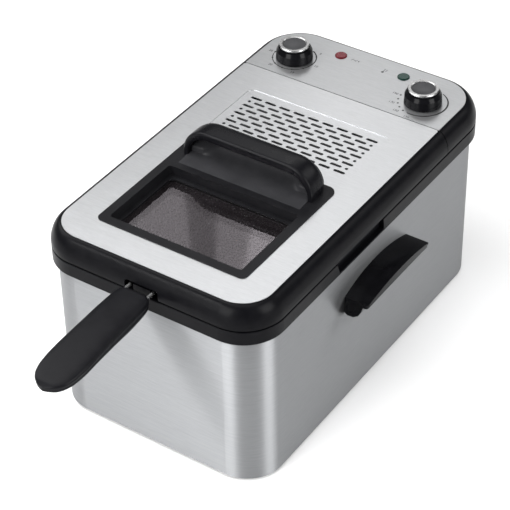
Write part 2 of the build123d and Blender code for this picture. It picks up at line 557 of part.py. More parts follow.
under = slab(plan(100.7, -191.2, 103.7, 22, 10), 196.4, 197.2)
under -= slab(plan(80, -164, -57, 6, 6), 190, 200)
under -= slab(plan(72, 6, 79, 6, 6), 190, 200)
nodes["inner_plate"] = under
tray = slab(plan(71.6, 6.4, 78.6, 6, 6), 190.5, 203.2) - slab(plan(70, 8, 77, 5, 5), 192, 204)
tray += slab(plan(75, 3, 82, 7, 7), 195.0, 196.4) - slab(plan(71, 7, 78, 5, 5), 194, 198)
for i in range(7):
    tray -= block(-62, 62, 14 + 9 * i - 2, 14 + 9 * i + 2, 190, 192.5)
nodes["filter_tray"] = tray
nodes["filter_pad"] = slab(plan(69.6, 8.4, 76.6, 5, 5), 192.2, 200.0)
seal = slab(plan(100.6, -191.1, 103.6, 22, 10), 178.4, 188) - slab(plan(97.6, -188.1, 100.6, 19, 8), 170, 190)
seal -= block(-120, 120, 80, 120, 170, 194)
seal -= block(-17, 17, -200, -180, 170, 190)
nodes["lid_seal"] = seal
ls = []
for xx, yy in [(-90, -100), (90, -100), (-90, 0), (90, 0), (-60, 95), (60, 95), (-60, -182), (60, -182)]:
    ls.append(rod_z(xx, yy, 194.6, 196.4, 3.0))
nodes["inner_screws"] = Compound(ls)

# ------------------------------------------------------------------ export
os.makedirs("parts", exist_ok=True)
for name, shape in nodes.items():
    moved = Pos(0, Y_SHIFT, 0) * shape
    moved.label = name
    export_step(moved, "parts/" + name + ".step")
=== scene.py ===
import json
import math
import bmesh
import bpy
import numpy as np
from mathutils import Matrix, Vector


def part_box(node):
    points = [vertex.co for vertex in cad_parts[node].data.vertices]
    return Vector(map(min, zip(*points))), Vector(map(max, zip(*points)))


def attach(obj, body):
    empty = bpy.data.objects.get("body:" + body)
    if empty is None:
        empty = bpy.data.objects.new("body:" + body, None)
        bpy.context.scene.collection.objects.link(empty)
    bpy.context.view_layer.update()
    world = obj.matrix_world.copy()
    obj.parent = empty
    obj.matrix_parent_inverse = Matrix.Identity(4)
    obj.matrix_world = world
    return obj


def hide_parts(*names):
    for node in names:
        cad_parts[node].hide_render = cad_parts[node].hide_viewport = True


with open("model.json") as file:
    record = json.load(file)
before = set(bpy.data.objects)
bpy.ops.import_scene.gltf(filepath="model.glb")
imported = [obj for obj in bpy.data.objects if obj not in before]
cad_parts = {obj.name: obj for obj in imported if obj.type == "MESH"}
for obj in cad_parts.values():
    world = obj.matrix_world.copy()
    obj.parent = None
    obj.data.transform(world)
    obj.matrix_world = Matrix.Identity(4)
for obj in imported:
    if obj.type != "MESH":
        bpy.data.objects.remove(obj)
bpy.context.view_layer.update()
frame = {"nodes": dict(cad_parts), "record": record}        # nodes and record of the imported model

# Deep fryer: looks for the imported model. Helper functions take millimetres in the row frame.
MM = 0.001


def mm_box(node):
    """Lowest and highest corner of a CAD node, in millimetres."""
    lo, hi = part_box(node)
    return np.array(lo) / MM, np.array(hi) / MM


# ------------------------------------------------------------------ camera
CAMERA_AT = Vector((0.8003, -1.1252, 1.2392))
CAMERA_LOOK = Vector((-0.44301, 0.64215, -0.6256))
CAMERA_RIGHT = Vector((0.83031, 0.55707, -0.01616))
FOCAL_LENGTH = 134.28       # on a sensor 36 mm wide


def place_camera():
    """A long lens from the front right, looking down."""
    data = bpy.data.cameras.new("camera")
    cam = bpy.data.objects.new("camera", data)
    bpy.context.scene.collection.objects.link(cam)
    back = -CAMERA_LOOK.normalized()
    right = (CAMERA_RIGHT - CAMERA_RIGHT.dot(back) * back).normalized()
    up = back.cross(right)
    m = Matrix((right, up, back)).transposed().to_4x4()
    m.translation = CAMERA_AT
    cam.matrix_world = m
    data.sensor_width = 36.0
    data.lens = FOCAL_LENGTH
    data.clip_start = 0.05
    data.clip_end = 60.0
    bpy.context.scene.camera = cam


# ------------------------------------------------------------------ materials
SOCKETS = {"coat": "Coat Weight", "coat_rough": "Coat Roughness", "aniso": "Anisotropic",
           "turn": "Anisotropic Rotation", "ior": "IOR", "alpha": "Alpha", "sheen": "Sheen Weight",
           "spec": "Specular IOR Level", "tint": "Specular Tint"}


def noise_at(nt, scale, detail, rough):
    """Noise over the piece's own coordinates, stretched by three scales in cycles per metre."""
    co = nt.nodes.new("ShaderNodeTexCoord")
    mp = nt.nodes.new("ShaderNodeMapping")
    mp.inputs["Scale"].default_value = scale
    nt.links.new(co.outputs["Object"], mp.inputs["Vector"])
    n = nt.nodes.new("ShaderNodeTexNoise")
    n.inputs["Scale"].default_value = 1.0
    n.inputs["Detail"].default_value = detail
    n.inputs["Roughness"].default_value = rough
    nt.links.new(mp.outputs["Vector"], n.inputs["Vector"])
    return n.outputs[0]


def blend_values(nt, a, b, factor):
    """(1 - factor) a + factor b of two noise outputs."""
    mx = nt.nodes.new("ShaderNodeMix")
    mx.data_type = "FLOAT"
    mx.inputs["Factor"].default_value = factor
    nt.links.new(a, mx.inputs["A"])
    nt.links.new(b, mx.inputs["B"])
    return mx.outputs["Result"]


NOISE_LOW, NOISE_HIGH = 0.32, 0.68      # nearly all of a noise lies between these


def stretch(nt, value, lo, hi):
    """Maps the used part of a noise to lo and hi."""
    mr = nt.nodes.new("ShaderNodeMapRange")
    mr.inputs["From Min"].default_value = NOISE_LOW
    mr.inputs["From Max"].default_value = NOISE_HIGH
    mr.inputs["To Min"].default_value = lo
    mr.inputs["To Max"].default_value = hi
    nt.links.new(value, mr.inputs["Value"])
    return mr.outputs["Result"]


def material(name, dark, light, rough, tone, grain, bump=0.15, depth=0.05, metallic=0.0, mix=0.0, coarse=None,
             tangent=None, **extra):
    """dark and light colours and a roughness range over one noise, and bump from a finer one.

    tone and grain are noise scales; mix blends in a coarse noise; depth is the bump's height in mm.
    """
    m = bpy.data.materials.new(name)
    m.use_nodes = True
    nt = m.node_tree
    bsdf = nt.nodes["Principled BSDF"]
    bsdf.inputs["Metallic"].default_value = metallic
    for key, value in extra.items():
        bsdf.inputs[SOCKETS[key]].default_value = value
    value = noise_at(nt, tone, 4.0, 0.6)
    if coarse:
        value = blend_values(nt, value, noise_at(nt, coarse, 2.0, 0.5), mix)
    colours = nt.nodes.new("ShaderNodeMix")
    colours.data_type = "RGBA"
    colours.inputs["A"].default_value = (*dark, 1.0)
    colours.inputs["B"].default_value = (*light, 1.0)
    nt.links.new(stretch(nt, value, 0.0, 1.0), colours.inputs["Factor"])
    nt.links.new(colours.outputs["Result"], bsdf.inputs["Base Color"])
    nt.links.new(stretch(nt, value, rough[0], rough[1]), bsdf.inputs["Roughness"])
    bm = nt.nodes.new("ShaderNodeBump")
    bm.inputs["Strength"].default_value = bump
    bm.inputs["Distance"].default_value = depth * MM
    nt.links.new(noise_at(nt, grain, 3.0, 0.6), bm.inputs["Height"])
    nt.links.new(bm.outputs["Normal"], bsdf.inputs["Normal"])
    if tangent:
        tg = nt.nodes.new("ShaderNodeTangent")
        tg.direction_type = "RADIAL"
        tg.axis = tangent
        nt.links.new(tg.outputs["Tangent"], bsdf.inputs["Tangent"])
    return m


def grey(v, warm=0.0):
    """A neutral colour, or a slightly warm one."""
    return (v + warm, v, v - warm)


MATS = {
    "brushed_shell": material(
        "brushed_shell", (0.275, 0.281, 0.289), (0.330, 0.336, 0.344), (0.42, 0.48), (70, 70, 1900),
        (90, 90, 2600), bump=0.08, depth=0.02, metallic=1.0, mix=0.3, coarse=(26.0, 26.0, 700), tangent="Z",
        aniso=0.93, turn=0.25),
    "brushed_plate": material(
        "brushed_plate", (0.475, 0.481, 0.491), (0.555, 0.561, 0.571), (0.33, 0.39), (160, 1700, 1700),
        (200, 2600, 2600), bump=0.10, depth=0.02, metallic=1.0, mix=0.4, coarse=(60.0, 600, 600), tangent="X",
        aniso=0.6),
    "sheet_steel": material(
        "sheet_steel", grey(0.46), grey(0.60), (0.28, 0.42), (20, 700, 20), (30, 1800, 30),
        bump=0.15, depth=0.03, metallic=1.0, mix=0.4, coarse=(30, 30, 30)),
    "zinc_steel": material(
        "zinc_steel", grey(0.42, 0.01), grey(0.60, 0.012), (0.30, 0.5), (350, 350, 350), (1500, 1500, 1500),
        bump=0.2, metallic=1.0),
    "heater_steel": material(
        "heater_steel", (0.085, 0.075, 0.07), (0.22, 0.19, 0.17), (0.38, 0.6), (60, 60, 60),
        (1400, 1400, 1400), bump=0.3, metallic=0.9),
    "chrome_wire": material(
        "chrome_wire", grey(0.74), grey(0.88), (0.22, 0.32), (160, 160, 160), (900, 900, 900),
        bump=0.06, metallic=1.0),
    "satin_chrome": material(
        "satin_chrome", grey(0.36), grey(0.48), (0.30, 0.42), (500, 500, 40), (2200, 2200, 200),
        bump=0.08, metallic=1.0),
    "black_plastic": material(
        "black_plastic", (0.0026, 0.0026, 0.0034), (0.0040, 0.0040, 0.0050), (0.28, 0.36), (90, 90, 90),
        (2300, 2300, 2300), bump=0.22, depth=0.04, spec=0.06),
    "gloss_black": material(
        "gloss_black", (0.003, 0.003, 0.0036), (0.005, 0.005, 0.006), (0.12, 0.22), (70, 70, 70),
        (1300, 1300, 1300), bump=0.05, depth=0.03, spec=0.08),
    "white_plastic": material(
        "white_plastic", (0.70, 0.68, 0.62), (0.80, 0.79, 0.74), (0.40, 0.55), (80, 80, 80),
        (1800, 1800, 1800)),
    "red_lens": material(
        "red_lens", (0.070, 0.003, 0.007), (0.115, 0.006, 0.012), (0.20, 0.30), (260, 260, 260),
        (900, 900, 900), bump=0.08, spec=0.4),
    "green_lens": material(
        "green_lens", (0.001, 0.016, 0.011), (0.002, 0.028, 0.020), (0.20, 0.30), (260, 260, 260),
        (900, 900, 900), bump=0.08, spec=0.4),
    "red_button": material(
        "red_button", (0.36, 0.018, 0.014), (0.48, 0.03, 0.022), (0.22, 0.34), (200, 200, 200),
        (1500, 1500, 1500)),
    "rubber": material(
        "rubber", grey(0.018), grey(0.035), (0.62, 0.85), (150, 150, 150), (1600, 1600, 1600), bump=0.4),
    "silicone": material(
        "silicone", grey(0.10), grey(0.15), (0.45, 0.60), (120, 120, 120), (1500, 1500, 1500), bump=0.2),
    "enamel": material(
        "enamel", grey(0.016), grey(0.030), (0.20, 0.34), (110, 110, 110), (420, 420, 420),
        bump=0.18, depth=0.05, coat=0.35, coat_rough=0.12),
    "copper": material(
        "copper", (0.46, 0.23, 0.13), (0.70, 0.40, 0.27), (0.24, 0.42), (110, 110, 110), (1300, 1300, 1300),
        metallic=1.0),
    "filter_fibre": material(
        "filter_fibre", (0.012, 0.012, 0.0125), (0.040, 0.040, 0.041), (0.85, 0.98), (900, 900, 900),
        (1900, 1900, 1900), bump=0.8, depth=0.3, sheen=0.3),
    "window_glass": material(
        "window_glass", (0.012, 0.010, 0.011), (0.018, 0.015, 0.017), (0.03, 0.06), (40, 40, 40),
        (60, 60, 60), bump=0.01, alpha=0.38, spec=0.62, ior=1.8, tint=(1.0, 0.91, 0.98, 1.0)),
    # finishes of single pieces
    "handle_satin": material(
        "handle_satin", (0.0034, 0.0034, 0.0044), (0.0050, 0.0050, 0.0062), (0.26, 0.33), (70, 70, 70),
        (2100, 2100, 2100), bump=0.18, depth=0.04, spec=0.11),
    "bezel_grey": material(
        "bezel_grey", (0.0055, 0.0055, 0.0065), (0.0080, 0.0080, 0.0092), (0.38, 0.48), (90, 90, 90),
        (2600, 2600, 2600), bump=0.3, depth=0.05, spec=0.13),
    "grip_matte": material(
        "grip_matte", (0.0045, 0.0045, 0.0056), (0.0065, 0.0065, 0.0078), (0.34, 0.42), (80, 80, 80),
        (2400, 2400, 2400), bump=0.24, depth=0.04, spec=0.08),
    # the scoop is the arch's own plastic painted about five times lighter: a painted sheen and painted reflection
    # for the light the web catches under the bar
    "scoop_painted_sheen": material(
        "scoop_painted_sheen", (0.020, 0.020, 0.0220), (0.026, 0.026, 0.0285), (0.40, 0.50), (70, 70, 70),
        (2100, 2100, 2100), bump=0.18, depth=0.04, spec=0.14),
    "cap_satin": material(
        "cap_satin", (0.036, 0.036, 0.038), (0.048, 0.048, 0.051), (0.34, 0.42), (120, 120, 120),
        (2600, 2600, 2600), bump=0.10, depth=0.03, spec=0.2),
    "ring_satin": material(
        "ring_satin", grey(0.34), grey(0.42), (0.24, 0.32), (160, 160, 160), (1600, 1600, 1600),
        bump=0.06, depth=0.02, metallic=1.0),
    "bright_rod": material(
        "bright_rod", grey(0.66), grey(0.74), (0.20, 0.26), (60, 60, 60), (300, 300, 300),
        bump=0.03, depth=0.02, metallic=1.0),
    "brushed_panel": material(
        "brushed_panel", (0.400, 0.405, 0.413), (0.468, 0.473, 0.481), (0.33, 0.39), (160, 1700, 1700),
        (200, 2600, 2600), bump=0.10, depth=0.02, metallic=1.0, mix=0.4, coarse=(60.0, 600, 600), tangent="X",
        aniso=0.6),
    "dial_print": material(
        "dial_print", grey(0.008), grey(0.016), (0.45, 0.6), (900, 900, 900), (2600, 2600, 2600), bump=0.1),
}

# nodes whose finish differs from the rest of their slot
OWN_FINISH = {"window_bezel": "bezel_grey", "control_plate": "brushed_panel", "handle_wires": "bright_rod",
              "timer_knob_cap": "cap_satin", "thermostat_knob_cap": "cap_satin",
              "timer_knob_ring": "ring_satin", "thermostat_knob_ring": "ring_satin"}


def dress_cad_nodes():
    """Gives every CAD node the finish of its slot, or its own."""
    for part in frame["record"]["subparts"]:
        name = part["node"]
        mat = MATS[OWN_FINISH.get(name, part["material_slot"])]
        obj = frame["nodes"][name]
        if not obj.material_slots:
            obj.data.materials.append(mat)
        for s in obj.material_slots:
            s.material = mat


# ------------------------------------------------------------------ mesh helpers
def new_piece(name, verts, faces, finish, body, stands_for=(), smooth=True):
    """A mesh piece from points in millimetres, riding on a body."""
    me = bpy.data.meshes.new(name)
    me.from_pydata([tuple(float(c) * MM for c in v) for v in verts], [], faces)
    me.validate()
    me.update()
    me.shade_smooth() if smooth else me.shade_flat()
    obj = bpy.data.objects.new(name, me)
    bpy.context.scene.collection.objects.link(obj)
    me.materials.append(MATS[finish])
    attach(obj, body)
    if stands_for:
        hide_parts(*stands_for)
    return obj


def tube(verts, faces, path, r, sides=6, closed=False):
    """Adds a round wire along the path, with rings square to it."""
    pts = np.array(path, float)
    n = len(pts)
    if closed:
        tan = np.roll(pts, -1, 0) - np.roll(pts, 1, 0)
    else:
        tan = np.gradient(pts, axis=0)
    tan /= np.linalg.norm(tan, axis=1)[:, None]
    ref = np.cross(tan[0], (0.0, 0.0, 1.0))
    if np.linalg.norm(ref) < 0.2:
        ref = np.cross(tan[0], (1.0, 0.0, 0.0))
    base = len(verts)
    for p, t in zip(pts, tan):
        ref = ref - ref.dot(t) * t
        ref /= np.linalg.norm(ref)
        other = np.cross(t, ref)
        for k in range(sides):
            a = 2 * math.pi * k / sides
            verts.append(p + r * (math.cos(a) * ref + math.sin(a) * other))
    for i in range(n if closed else n - 1):
        j = (i + 1) % n
        for k in range(sides):
            k2 = (k + 1) % sides
            a, b = base + i * sides, base + j * sides
            faces.append((a + k, a + k2, b + k2, b + k))
    if not closed:
        faces.append(tuple(base + k for k in reversed(range(sides))))
        faces.append(tuple(base + (n - 1) * sides + k for k in range(sides)))


# ------------------------------------------------------------------ woven basket
PITCH = 4.57        # from wire to wire
WIRE = 0.45         # wire radius
BASKET_CORNER = 13.4


def woven_basket():
    """Baskets are pressed from woven wire: upright wires run over and under level hoops, and the
    same wires cross on the floor of the basket."""
    rim_lo, rim_hi = mm_box("basket_rim")
    mesh_lo, _ = mm_box("basket_mesh")
    rod = (rim_hi[2] - rim_lo[2]) / 2
    x1 = rim_hi[0] - rod - BASKET_CORNER        # straight part of the sides
    y0 = rim_lo[1] + rod + BASKET_CORNER
    y1 = rim_hi[1] - rod - BASKET_CORNER
    top = rim_lo[2] + rod
    low = mesh_lo[2] + 1.2
    nx = round(2 * x1 / PITCH)
    ny = round((y1 - y0) / PITCH)
    if nx % 2:
        nx += 1
    if ny % 2:
        ny += 1
    # section of the wall: distance outside the straight rectangle, and height
    fillet = 6.0
    slope = math.tan(math.radians(4.0))
    wall_top = BASKET_CORNER - 0.4
    wall_low = wall_top - (top - low - fillet) * slope
    section = [(wall_top, top), (wall_low, low + fillet)]
    for k in range(1, 7):
        a = math.pi / 2 * k / 6
        section.append((wall_low - fillet * (1 - math.cos(a)), low + fillet * (1 - math.sin(a))))
    section.append((0.0, low))
    section = np.array(section)
    run = np.r_[0, np.cumsum(np.linalg.norm(np.diff(section, axis=0), axis=1))]
    rows = round(run[-1] / PITCH)
    rows += rows % 2
    steps = np.linspace(0, run[-1], rows + 1)
    prof = np.stack([np.interp(steps, run, section[:, 0]), np.interp(steps, run, section[:, 1])], 1)
    flow = np.gradient(prof, axis=0)
    flow /= np.linalg.norm(flow, axis=1)[:, None]
    out = np.stack([-flow[:, 1], flow[:, 0]], 1)        # away from the inside of the basket

    verts, faces = [], []

    def side(base, direction, parity):
        """Points of one upright wire, from the rim down to the floor."""
        pts = []
        for j in range(rows + 1):
            lift = WIRE * (1 if (j + parity) % 2 else -1)
            d, z = prof[j] + lift * out[j]
            pts.append((base[0] + d * direction[0], base[1] + d * direction[1], z))
        return pts

    # wires that run front to back, then wires that run side to side
    for i in range(nx + 1):
        x = -x1 + 2 * x1 * i / nx
        front = side((x, y0), (0, -1), i)
        back = side((x, y1), (0, 1), i + ny)
        floor = []
        for j in range(1, ny):
            y = y0 + (y1 - y0) * j / ny
            floor.append((x, y, low + WIRE * (1 if (i + j + rows) % 2 else -1)))
        tube(verts, faces, front + floor + back[::-1], WIRE)
    for j in range(ny + 1):
        y = y0 + (y1 - y0) * j / ny
        left = side((-x1, y), (-1, 0), j)
        right = side((x1, y), (1, 0), j + nx)
        floor = []
        for i in range(1, nx):
            x = -x1 + 2 * x1 * i / nx
            floor.append((x, y, low - WIRE * (1 if (i + j + rows) % 2 else -1)))
        tube(verts, faces, left + floor + right[::-1], WIRE)
    # wires round the corners
    arc = 5
    for cx, cy, a0 in ((x1, y0, -90), (x1, y1, 0), (-x1, y1, 90), (-x1, y0, 180)):
        for k in range(1, arc):
            a = math.radians(a0 + 90 * k / arc)
            tube(verts, faces, side((cx, cy), (math.cos(a), math.sin(a)), k)[:-1], WIRE)
    # level hoops
    for j in range(rows):
        ring = []

        def hoop(base, direction, parity):
            lift = -WIRE * (1 if (j + parity) % 2 else -1)
            e, h = prof[j] + lift * out[j]
            ring.append((base[0] + e * direction[0], base[1] + e * direction[1], h))

        for i in range(nx + 1):
            hoop((-x1 + 2 * x1 * i / nx, y0), (0, -1), i)
        for k in range(1, arc):
            a = math.radians(-90 + 90 * k / arc)
            hoop((x1, y0), (math.cos(a), math.sin(a)), k)
        for i in range(ny + 1):
            hoop((x1, y0 + (y1 - y0) * i / ny), (1, 0), i)
        for k in range(1, arc):
            a = math.radians(90 * k / arc)
            hoop((x1, y1), (math.cos(a), math.sin(a)), k)
        for i in range(nx + 1):
            hoop((x1 - 2 * x1 * i / nx, y1), (0, 1), i)
        for k in range(1, arc):
            a = math.radians(90 + 90 * k / arc)
            hoop((-x1, y1), (math.cos(a), math.sin(a)), k)
        for i in range(ny + 1):
            hoop((-x1, y1 - (y1 - y0) * i / ny), (-1, 0), i)
        for k in range(1, arc):
            a = math.radians(180 + 90 * k / arc)
            hoop((-x1, y0), (math.cos(a), math.sin(a)), k)
        tube(verts, faces, ring, WIRE, closed=True)
    new_piece("woven_mesh", verts, faces, "chrome_wire", "basket", ["basket_mesh"])


# ------------------------------------------------------------------ smooth curves
def smooth(x, xs, ys):
    """Cubic through the given values, with slopes that never overshoot."""
    xs, ys = np.array(xs, float), np.array(ys, float)
    h = np.diff(xs)
    d = np.diff(ys) / h
    m = np.zeros(len(xs))
    for i in range(1, len(xs) - 1):
        if d[i - 1] * d[i] > 0:
            w1, w2 = 2 * h[i] + h[i - 1], h[i] + 2 * h[i - 1]
            m[i] = (w1 + w2) / (w1 / d[i - 1] + w2 / d[i])
    m[0], m[-1] = d[0], d[-1]
    i = int(np.clip(np.searchsorted(xs, x) - 1, 0, len(h) - 1))
    t = (x - xs[i]) / h[i]
    a = 2 * t ** 3 - 3 * t ** 2 + 1
    b = t ** 3 - 2 * t ** 2 + t
    c = 3 * t ** 2 - 2 * t ** 3
    e = t ** 3 - t ** 2
    return float(a * ys[i] + b * h[i] * m[i] + c * ys[i + 1] + e * h[i] * m[i + 1])


def loft(rings, verts, faces):
    """Skins closed rings of equal length, one after another, and caps both ends."""
    base = len(verts)
    n = len(rings[0])
    for ring in rings:
        verts.extend(ring)
    for i in range(len(rings) - 1):
        for k in range(n):
            k2 = (k + 1) % n
            a, b = base + i * n, base + (i + 1) * n
            faces.append((a + k, b + k, b + k2, a + k2))
    faces.append(tuple(base + k for k in range(n)))
    last = base + (len(rings) - 1) * n
    faces.append(tuple(last + k for k in reversed(range(n))))


# ------------------------------------------------------------------ basket handle grip
GRIP_SPAN = 126.5   # the stations of the grip are given along this length
GRIP_EXTRA = 2.0    # the tip reaches this far past the CAD grip
TOP_POWER = 4.2     # how square the section is above the parting line
UNDER_POWER = 3.4   # and below it


def grip_shape():
    """Lofted grip: flat crowned top with a soft edge, a parting groove and a narrower lower half."""
    lo, hi = mm_box("handle_grip")
    length = hi[1] - lo[1]
    mid_x = (lo[0] + hi[0]) / 2
    along = np.array([0, 3, 10, 28, 46, 68, 90, 105, 114, 120, 124, 126, GRIP_SPAN]) / GRIP_SPAN
    half = [15.0, 16.8, 17.9, 18.6, 18.9, 19.6, 20.2, 19.2, 16.9, 13.2, 8.4, 3.8, 0.6]
    s_up = np.array([0, 24, 54, 89, 112, 122, GRIP_SPAN]) / GRIP_SPAN
    up = [193.6, 193.5, 191.8, 188.2, 185.2, 183.4, 181.0]
    s_dn = np.array([0, 34, 74, 104, 120, GRIP_SPAN]) / GRIP_SPAN
    dn = [177.0, 174.0, 174.4, 173.2, 173.9, 176.2]
    stations = 96
    around = 96
    rings = []
    for i in range(stations):
        t = i / (stations - 1)
        s = 1.0 - (1.0 - t) ** 1.8 if t > 0.5 else t * (1.0 - 0.5 ** 1.8) / 0.5
        hw = smooth(s, along, half)
        z1 = smooth(s, s_up, up)
        z0 = smooth(s, s_dn, dn)
        y = hi[1] - s * (length + GRIP_EXTRA)
        part = z0 + 0.50 * (z1 - z0)        # height of the parting groove
        pinch = min(1.0, hw / 9.0)
        ring = []
        for k in range(around):
            a = 2 * math.pi * k / around
            ca, sa = math.cos(a), math.sin(a)
            if sa >= 0:
                z = part + (z1 - part) * abs(sa) ** (2 / TOP_POWER)
                w = hw * abs(ca) ** (2 / TOP_POWER)
                z -= 0.5 * (abs(w) / hw) ** 2 * sa
            else:
                z = part - (part - z0) * abs(sa) ** (2 / UNDER_POWER)
                w = (hw - 0.6 * pinch) * abs(ca) ** (2 / UNDER_POWER)
            groove = math.exp(-((z - part) / 0.7) ** 2) * pinch
            ring.append((mid_x + math.copysign(max(w - groove, 0.0), ca), y, z))
        rings.append(ring)
    verts, faces = [], []
    loft(rings, verts, faces)
    new_piece("grip_shape", verts, faces, "grip_matte", "basket_handle", ["handle_grip"])


# ------------------------------------------------------------------ lid handle
ARCH_SETBACK = 4.8  # the arch stands this far behind the CAD handle, in mm
BAR_LEG = 5.4       # thickness of the bar in its legs
BAR_SWELL = 3.0     # how much thicker it is along the top
ARCH_R = 27.0       # radius of its two shoulders
WEB_GAP = 6.2       # from the top of the arch down to the top of the web
WEB_INSET = 5.0     # from the outside of the arch in to the sides of the web
CREASE = 50         # degrees: edges sharper than this stay sharp


def lid_handle():
    """Arch over a scooped web. The bar is swept along the arch, the web closes it behind."""
    lo, hi = mm_box("lid_handle")
    hw = hi[0]
    top = hi[2]
    foot = lo[2]
    front, rear = lo[1] + ARCH_SETBACK, hi[1] + ARCH_SETBACK
    radius = ARCH_R
    path = []
    for k in range(14):
        path.append(((-hw, foot + (top - radius - foot) * k / 14), (-1.0, 0.0)))
    for k in range(29):
        a = math.pi - math.pi / 2 * k / 28
        path.append(((-hw + radius + radius * math.cos(a), top - radius + radius * math.sin(a)),
                     (math.cos(a), math.sin(a))))
    path += [((-hw + radius + (2 * hw - 2 * radius) * k / 12, top), (0.0, 1.0)) for k in range(1, 12)]
    path += [((-p[0], p[1]), (-n[0], n[1])) for p, n in reversed(path[:43])]
    rings = []
    for (px, pz), (nx, nz) in path:
        t = BAR_LEG + BAR_SWELL * max(nz, 0.0)
        # section of the bar: depth from the front lip, and distance in from the outside of the arch
        loop = [(0.0, 2.2), (0.06, 1.6), (0.35, 0.9), (0.95, 0.35), (1.8, 0.08), (3.2, 0.0), (7.0, 0.0),
                (12.0, 0.05), (16.5, 0.25), (19.5, 0.75), (22.2, 1.7), (24.4, 3.2), (26.0, 5.2),
                (26.9, 7.8), (27.3, 10.5), (27.3, 12.2), (25.5, 12.4), (21.0, t + 1.5), (18.0, t + 0.3),
                (12.0, t), (6.0, t), (1.8, t - 0.02), (0.9, t - 0.2), (0.3, t - 0.75), (0.05, t - 1.4),
                (0.0, t - 2.0)]
        rings.append([(px - nx * d, front + y, pz - nz * d) for y, d in loop])
    verts, faces = [], []
    loft(rings, verts, faces)
    bar_piece = new_piece("lid_arch", verts, faces, "handle_satin", "lid", ["lid_handle"])
    sharp_edges(bar_piece, CREASE)
    # web: a concave face from under the lip down to the rear edge of the window well, in a lighter copy of the
    # arch's plastic that paints on the sheen it catches
    web_top = top - WEB_GAP
    zs = [foot, foot + 0.3, foot + 0.9, foot + 2.0, foot + 4.0, foot + 7.0, foot + 11.0, foot + 15.5, web_top]
    ys = [-13.5, -8.0, -1.5, 5.0, 11.5, 17.0, 20.8, 22.6, 23.2]
    rows = 40
    cols = 64
    edge = hw - WEB_INSET
    corner = radius - 6.0
    face_pts, back_pts = [], []
    for i in range(rows + 1):
        z = foot + (web_top - foot) * (i / rows) ** 1.6
        y = front + smooth(z, zs, ys)
        over = z - (top - 7.0 - corner)
        w = edge + 0.8 if over <= 0 else edge + 0.8 - corner + math.sqrt(max(corner ** 2 - over ** 2, 0.0))
        # low in both corners the web swells forward over the screw bosses
        low = smooth(z, [foot, foot + 7.2, foot + 10.5, foot + 16.0, top], [1.0, 1.0, 0.62, 0.0, 0.0])
        row = []
        for k in range(cols + 1):
            x = w * (2 * k / cols - 1)
            side = smooth(abs(x), [0.0, 41.0, 47.0, 54.0, 80.0], [0.0, 0.0, 0.45, 1.0, 1.0])
            row.append((x, y - low * side * max(y - front - 6.4, 0.0), z))
        face_pts.append(row)
        back_pts.append([(w * (2 * k / cols - 1), rear - 0.25, z) for k in range(cols + 1)])
    verts, faces = [], []
    for row in face_pts + back_pts:
        verts.extend(row)
    n = cols + 1
    m = rows + 1
    for i in range(rows):
        for k in range(cols):
            a = i * n + k
            b = a + m * n
            faces.append((a, a + 1, a + n + 1, a + n))
            faces.append((b, b + n, b + n + 1, b + 1))
        for k in (0, cols):
            a = i * n + k
            b = a + m * n
            faces.append((a, a + n, b + n, b) if k == 0 else (a, b, b + n, a + n))
    for k in range(cols):
        a = k
        b = a + m * n
        faces.append((a, b, b + 1, a + 1))
        a = rows * n + k
        b = a + m * n
        faces.append((a, a + 1, b + 1, b))
    web_piece = new_piece("arch_web", verts, faces, "scoop_painted_sheen", "lid", ["lid_handle"])
    sharp_edges(web_piece, CREASE)


def sharp_edges(obj, degrees):
    """Smooth shading that keeps creases sharper than the angle."""
    me = obj.data
    bm = bmesh.new()
    bm.from_mesh(me)
    bmesh.ops.recalc_face_normals(bm, faces=bm.faces)
    for e in bm.edges:
        if len(e.link_faces) == 2 and e.calc_face_angle(0.0) > math.radians(degrees):
            e.smooth = False
    bm.to_mesh(me)
    bm.free()


# ------------------------------------------------------------------ dial prints
PRINT_T = 0.06      # thickness of the ink
DIAL_R = {"timer_knob": 21.9, "thermostat_knob": 24.2}


def ribbon(verts, faces, cx, cy, r, a0, a1, width, z):
    """A printed arc. Its width is a function of how far along it is, from 0 to 1."""
    n = max(4, int(abs(a1 - a0) / 3))
    base = len(verts)
    for i in range(n + 1):
        a = math.radians(a0 + (a1 - a0) * i / n)
        c, s = math.cos(a), math.sin(a)
        w = width(i / n)
        for rr, zz in ((r - w / 2, z), (r + w / 2, z), (r + w / 2, z + PRINT_T), (r - w / 2, z + PRINT_T)):
            verts.append((cx + rr * c, cy + rr * s, zz))
    for i in range(n):
        for k in range(4):
            k2 = (k + 1) % 4
            b = base + 4 * i
            faces.append((b + k, b + k2, b + 4 + k2, b + 4 + k))
    faces.append((base + 3, base + 2, base + 1, base))
    faces.append(tuple(base + 4 * n + k for k in range(4)))


def dot(verts, faces, x, y, r, z):
    """A printed disc."""
    base = len(verts)
    n = 16
    for zz in (z, z + PRINT_T):
        for k in range(n):
            a = 2 * math.pi * k / n
            verts.append((x + r * math.cos(a), y + r * math.sin(a), zz))
    for k in range(n):
        k2 = (k + 1) % n
        faces.append((base + k, base + k2, base + n + k2, base + n + k))
    faces.append(tuple(base + n + k for k in range(n)))
    faces.append(tuple(reversed(range(base, base + n))))


def bar(verts, faces, x, y, length, width, angle, z):
    """A short printed stroke."""
    c, s = math.cos(math.radians(angle)), math.sin(math.radians(angle))
    base = len(verts)
    for zz in (z, z + PRINT_T):
        for u, v in ((-1, -1), (1, -1), (1, 1), (-1, 1)):
            du, dv = u * length / 2, v * width / 2
            verts.append((x + du * c - dv * s, y + du * s + dv * c, zz))
    for q in ((3, 2, 1, 0), (4, 5, 6, 7), (0, 1, 5, 4), (1, 2, 6, 5), (2, 3, 7, 6), (3, 0, 4, 7)):
        faces.append(tuple(base + k for k in q))


